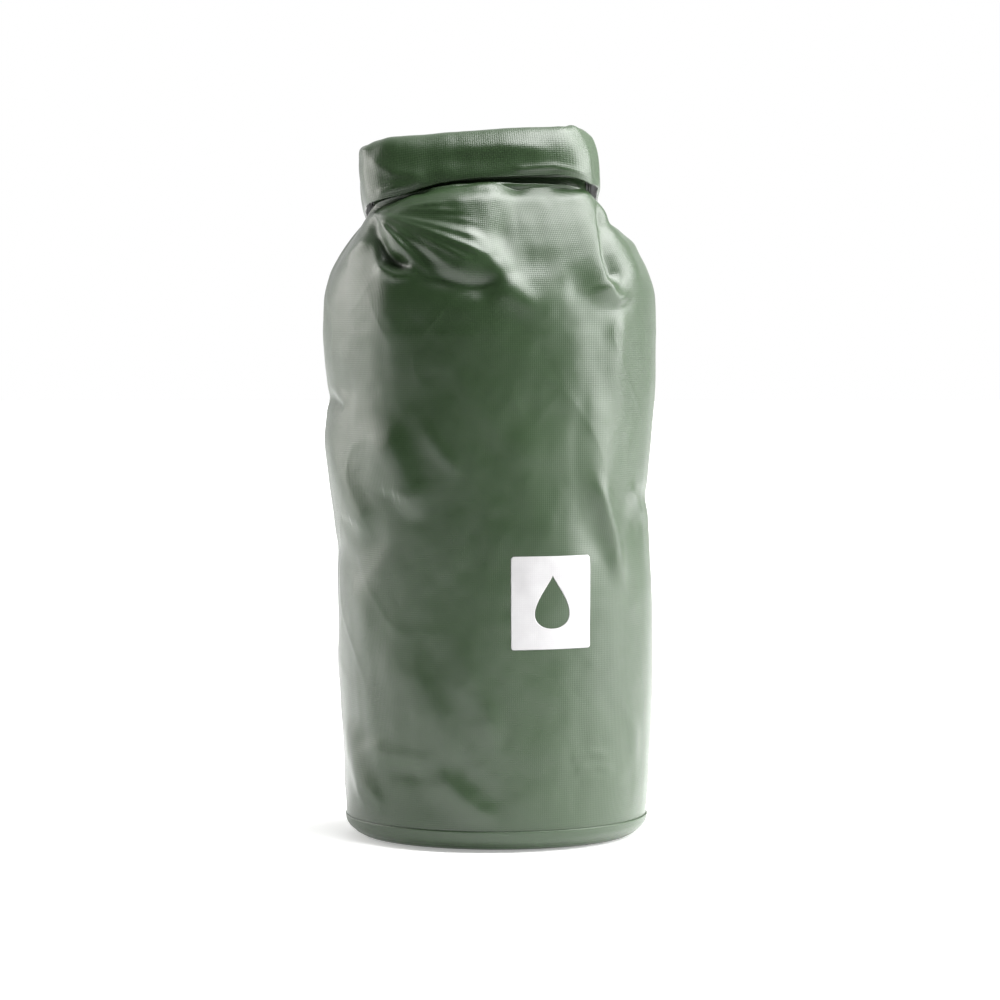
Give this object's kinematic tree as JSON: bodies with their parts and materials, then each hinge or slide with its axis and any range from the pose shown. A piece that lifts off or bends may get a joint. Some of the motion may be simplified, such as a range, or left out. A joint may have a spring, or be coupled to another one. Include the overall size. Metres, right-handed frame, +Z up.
{
  "type": "roll-top dry bag",
  "caption": "Upright cylindrical waterproof bag of coated fabric, closed by a rolled top whose ends bend round to the back and clip together in a side-release buckle",
  "frame": {"origin": "centre of the flat underside of the base, where the bag rests", "axes": "+Z up, the long axis of the bag; the front faces -Y; the buckle and the D ring are at the back, +Y; +X is to the right of someone facing the front"},
  "size_m": [0.1934, 0.1984, 0.4178],
  "materials": {
    "coated_fabric": "satin coated tarpaulin, fine square weave showing through",
    "base_fabric": "satin coated tarpaulin, heavier grade",
    "seam_tape": "welded coated tape",
    "webbing": "matte woven polyester",
    "stitching": "dark thread",
    "stiffener_plastic": "plain",
    "buckle_plastic": "moulded, fine spark texture",
    "ring_metal": "satin nickel plated",
    "print": "pale grey screen print"
  },
  "bodies": {
    "bag": {"wall_panel": "coated_fabric", "base_panel": "base_fabric", "base_seam_tape": "base_fabric", "back_seam_tape": "seam_tape", "ring_patch": "seam_tape", "ring_webbing": "webbing", "ring_bartack": "stitching"},
    "collar_1": {"collar_turn_1": "coated_fabric"},
    "collar_2": {"collar_turn_2": "coated_fabric"},
    "collar_3": {"collar_turn_3": "coated_fabric"},
    "roll": {"roll_wrap": "coated_fabric", "stiffener_front": "stiffener_plastic", "stiffener_back": "stiffener_plastic", "mouth_hem": "coated_fabric", "anchor_left": "webbing", "anchor_right": "webbing"},
    "tab_left_body": {"tab_left": "webbing", "bartack_left": "stitching"},
    "tab_right_body": {"tab_right": "webbing", "bartack_right": "stitching"},
    "socket": {"buckle_socket": "buckle_plastic"},
    "plug": {"buckle_plug": "buckle_plastic"},
    "prong_top": {"prong_upper": "buckle_plastic"},
    "prong_bottom": {"prong_lower": "buckle_plastic"},
    "d_ring_body": {"d_ring": "ring_metal"}
  },
  "joints": [
    {"name": "roll_payout", "type": "slide", "parent": "bag", "child": "roll", "axis": [-0.0682, 0.2079, 0.9758], "range_m": [0, 0.1]},
    {"name": "collar_1_payout", "type": "slide", "parent": "bag", "child": "collar_1", "axis": [-0.0682, 0.2079, 0.9758], "range_m": [0, 0.025]},
    {"name": "collar_2_payout", "type": "slide", "parent": "bag", "child": "collar_2", "axis": [-0.0682, 0.2079, 0.9758], "range_m": [0, 0.05]},
    {"name": "collar_3_payout", "type": "slide", "parent": "bag", "child": "collar_3", "axis": [-0.0682, 0.2079, 0.9758], "range_m": [0, 0.075]},
    {"name": "tab_left_swing", "type": "hinge", "parent": "roll", "child": "tab_left_body", "pos_m": [-0.05422, 0.04124, 0.37527], "axis": [-0.0682, 0.2079, 0.9758], "range_deg": [0, 75], "deforming": ["prong_upper", "prong_lower"]},
    {"name": "tab_right_swing", "type": "hinge", "parent": "roll", "child": "tab_right_body", "pos_m": [0.03526, 0.04124, 0.38153], "axis": [0.0682, -0.2079, -0.9758], "range_deg": [0, 75]},
    {"name": "socket_pivot", "type": "hinge", "parent": "tab_left_body", "child": "socket", "pos_m": [-0.03427, 0.04124, 0.37666], "axis": [0.0682, -0.2079, -0.9758], "range_deg": [0, 75]},
    {"name": "plug_pivot", "type": "hinge", "parent": "tab_right_body", "child": "plug", "pos_m": [0.01531, 0.04124, 0.38013], "axis": [-0.0682, 0.2079, 0.9758], "range_deg": [0, 75]},
    {"name": "prong_upper_flex", "type": "hinge", "parent": "plug", "child": "prong_top", "pos_m": [-0.00066, 0.04353, 0.3898], "axis": [-0.0145, -0.9781, 0.2074], "range_deg": [0, 13], "stiffness_Nm_per_rad": 0.1},
    {"name": "prong_lower_flex", "type": "hinge", "parent": "plug", "child": "prong_bottom", "pos_m": [0.00085, 0.03895, 0.36833], "axis": [0.0145, 0.9781, -0.2074], "range_deg": [0, 13], "stiffness_Nm_per_rad": 0.1},
    {"name": "d_ring_swing", "type": "hinge", "parent": "bag", "child": "d_ring_body", "pos_m": [-0.00102, 0.09804, 0.084], "axis": [1, 0, 0], "range_deg": [0, 150]}
  ],
  "couplings": [
    {"joint": "collar_1_payout", "follows": "roll_payout", "ratio": 0.25},
    {"joint": "collar_2_payout", "follows": "roll_payout", "ratio": 0.5},
    {"joint": "collar_3_payout", "follows": "roll_payout", "ratio": 0.75},
    {"joint": "tab_right_swing", "follows": "tab_left_swing", "ratio": 1},
    {"joint": "socket_pivot", "follows": "tab_left_swing", "ratio": 1},
    {"joint": "plug_pivot", "follows": "tab_left_swing", "ratio": 1},
    {"joint": "prong_lower_flex", "follows": "prong_upper_flex", "ratio": 1}
  ]
}
